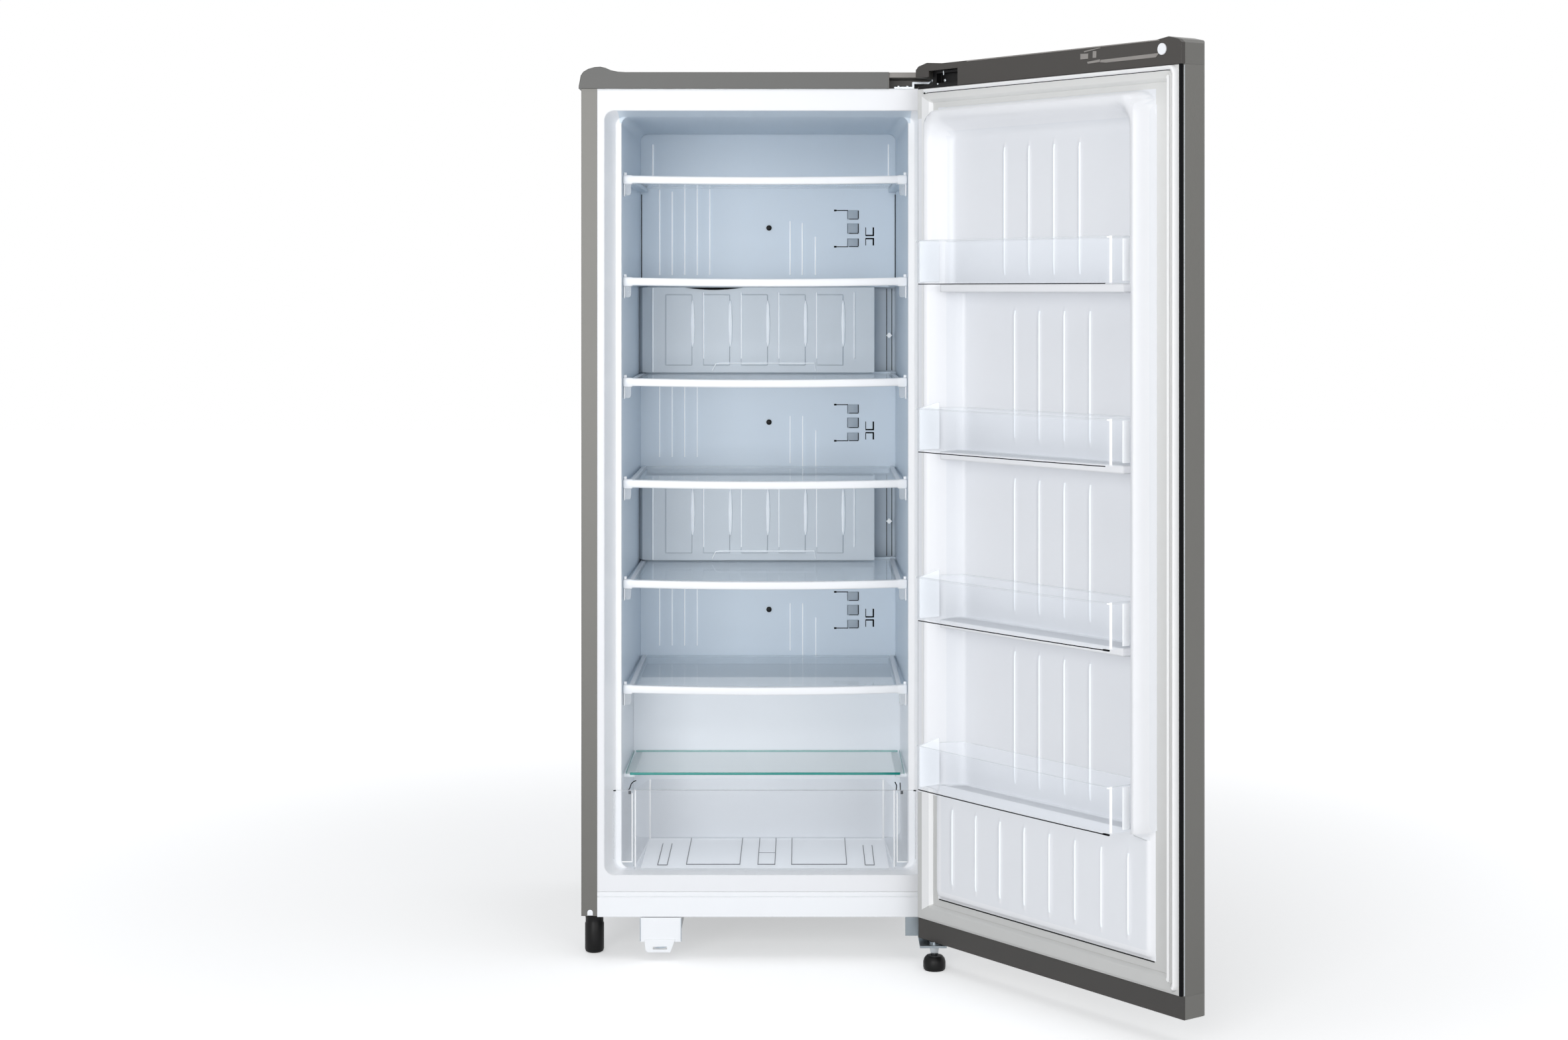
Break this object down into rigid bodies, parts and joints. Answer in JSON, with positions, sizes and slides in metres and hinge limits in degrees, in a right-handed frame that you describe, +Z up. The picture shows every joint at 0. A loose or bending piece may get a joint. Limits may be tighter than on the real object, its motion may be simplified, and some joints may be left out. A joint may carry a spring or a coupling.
{
  "type": "upright freezer",
  "caption": "Upright freezer with one side-hinged door, sliding glass shelves, a pull-out drawer, lift-out door baskets and a rear compressor bay.",
  "frame": {"origin": "floor level at the centre of the cabinet's footprint", "axes": "+Z up along the height, +X to the right and -Y towards the viewer of the open cabinet"},
  "size_m": [0.8391, 0.9595, 1.2944],
  "materials": {
    "shell_grey": "satin grey paint on steel",
    "galvanised": "zinc coated steel",
    "cover_grey": "moulded grey plastic",
    "cap_dark": "moulded dark grey plastic",
    "liner_white": "vacuum formed white plastic",
    "shelf_white": "moulded white plastic",
    "shelf_glass": "toughened glass",
    "clear_plastic": "clear moulded plastic",
    "gasket_grey": "soft extruded seal",
    "black_plastic": "black moulded plastic",
    "black_rubber": "moulded rubber",
    "black_steel": "black enamel on steel",
    "fin_aluminium": "bare aluminium",
    "pan_plastic": "moulded plastic",
    "foam": "rigid foam"
  },
  "bodies": {
    "cabinet": {"side_panel_left": "shell_grey", "side_panel_right": "shell_grey", "top_cover": "cover_grey", "back_panel": "galvanised", "top_panel": "galvanised", "base_plate": "galvanised", "lower_front_panel": "cover_grey", "inner_liner": "liner_white", "foam_insulation": "foam", "drain_tube": "shelf_white", "compressor_bay_shield": "galvanised", "rear_feet": "black_plastic", "lower_hinge_bracket": "galvanised", "top_hinge_bracket": "galvanised", "hinge_pins": "galvanised", "screws": "galvanised", "compressor": "black_steel", "compressor_mounts": "black_rubber", "evaporating_pan": "pan_plastic", "condenser": "black_steel", "control_box": "black_plastic", "power_inlet": "black_plastic", "duct_cover_upper": "liner_white", "duct_cover_lower": "liner_white", "duct_panel_upper": "liner_white", "duct_panel_middle": "liner_white", "duct_panel_lower": "liner_white", "fan_motor": "galvanised", "evaporator": "fin_aluminium"},
    "door": {"door_outer_panel": "shell_grey", "door_top_cap": "cap_dark", "door_bottom_cap": "cap_dark", "door_liner": "liner_white", "door_foam": "foam", "door_gasket": "gasket_grey", "hinge_insert": "black_plastic", "hinge_bushes": "shelf_white", "cap_plug": "liner_white"},
    "drawer": {"drawer": "clear_plastic"},
    "glass_shelf": {"glass_shelf": "shelf_glass"},
    "drip_tray": {"drip_tray": "cover_grey"},
    "fan": {"fan_blade": "shelf_white"},
    "left_foot": {"left_foot": "black_plastic"},
    "right_foot": {"right_foot": "black_plastic"},
    "shelf_1": {"shelf_frame_1": "shelf_white", "shelf_glass_1": "shelf_glass"},
    "shelf_2": {"shelf_frame_2": "shelf_white", "shelf_glass_2": "shelf_glass"},
    "shelf_3": {"shelf_frame_3": "shelf_white", "shelf_glass_3": "shelf_glass"},
    "shelf_4": {"shelf_frame_4": "shelf_white", "shelf_glass_4": "shelf_glass"},
    "shelf_5": {"shelf_frame_5": "shelf_white", "shelf_glass_5": "shelf_glass"},
    "shelf_6": {"shelf_frame_6": "shelf_white", "shelf_glass_6": "shelf_glass"},
    "basket_1": {"door_basket_1": "clear_plastic"},
    "basket_2": {"door_basket_2": "clear_plastic"},
    "basket_3": {"door_basket_3": "clear_plastic"},
    "basket_4": {"door_basket_4": "clear_plastic"}
  },
  "joints": [
    {"name": "door_hinge", "type": "hinge", "parent": "cabinet", "child": "door", "pos_m": [0.2485, -0.2835, 0], "axis": [0, 0, 1], "range_deg": [-127, 8]},
    {"name": "basket_1_lift", "type": "slide", "parent": "door", "child": "basket_1", "axis": [0, 0, 1], "range_m": [0, 0.025]},
    {"name": "basket_2_lift", "type": "slide", "parent": "door", "child": "basket_2", "axis": [0, 0, 1], "range_m": [0, 0.025]},
    {"name": "basket_3_lift", "type": "slide", "parent": "door", "child": "basket_3", "axis": [0, 0, 1], "range_m": [0, 0.025]},
    {"name": "basket_4_lift", "type": "slide", "parent": "door", "child": "basket_4", "axis": [0, 0, 1], "range_m": [0, 0.025]},
    {"name": "shelf_1_slide", "type": "slide", "parent": "cabinet", "child": "shelf_1", "axis": [0, -1, 0], "range_m": [0, 0.25]},
    {"name": "shelf_2_slide", "type": "slide", "parent": "cabinet", "child": "shelf_2", "axis": [0, -1, 0], "range_m": [0, 0.25]},
    {"name": "shelf_3_slide", "type": "slide", "parent": "cabinet", "child": "shelf_3", "axis": [0, -1, 0], "range_m": [0, 0.25]},
    {"name": "shelf_4_slide", "type": "slide", "parent": "cabinet", "child": "shelf_4", "axis": [0, -1, 0], "range_m": [0, 0.25]},
    {"name": "shelf_5_slide", "type": "slide", "parent": "cabinet", "child": "shelf_5", "axis": [0, -1, 0], "range_m": [0, 0.25]},
    {"name": "shelf_6_slide", "type": "slide", "parent": "cabinet", "child": "shelf_6", "axis": [0, -1, 0], "range_m": [0, 0.25]},
    {"name": "glass_shelf_slide", "type": "slide", "parent": "cabinet", "child": "glass_shelf", "axis": [0, -1, 0], "range_m": [0, 0.15]},
    {"name": "drawer_slide", "type": "slide", "parent": "cabinet", "child": "drawer", "axis": [0, -1, 0], "range_m": [0, 0.16]},
    {"name": "drip_tray_slide", "type": "slide", "parent": "cabinet", "child": "drip_tray", "axis": [0, -1, 0], "range_m": [0, 0.12]},
    {"name": "fan_spin", "type": "hinge", "parent": "cabinet", "child": "fan", "pos_m": [0, 0.122, 0.90746], "axis": [0, 1, 0], "continuous": true},
    {"name": "left_foot_turn", "type": "hinge", "parent": "cabinet", "child": "left_foot", "pos_m": [-0.25, -0.198, 0], "axis": [0, 0, 1], "continuous": true},
    {"name": "right_foot_turn", "type": "hinge", "parent": "cabinet", "child": "right_foot", "pos_m": [0.2434, -0.3, 0], "axis": [0, 0, 1], "continuous": true}
  ]
}
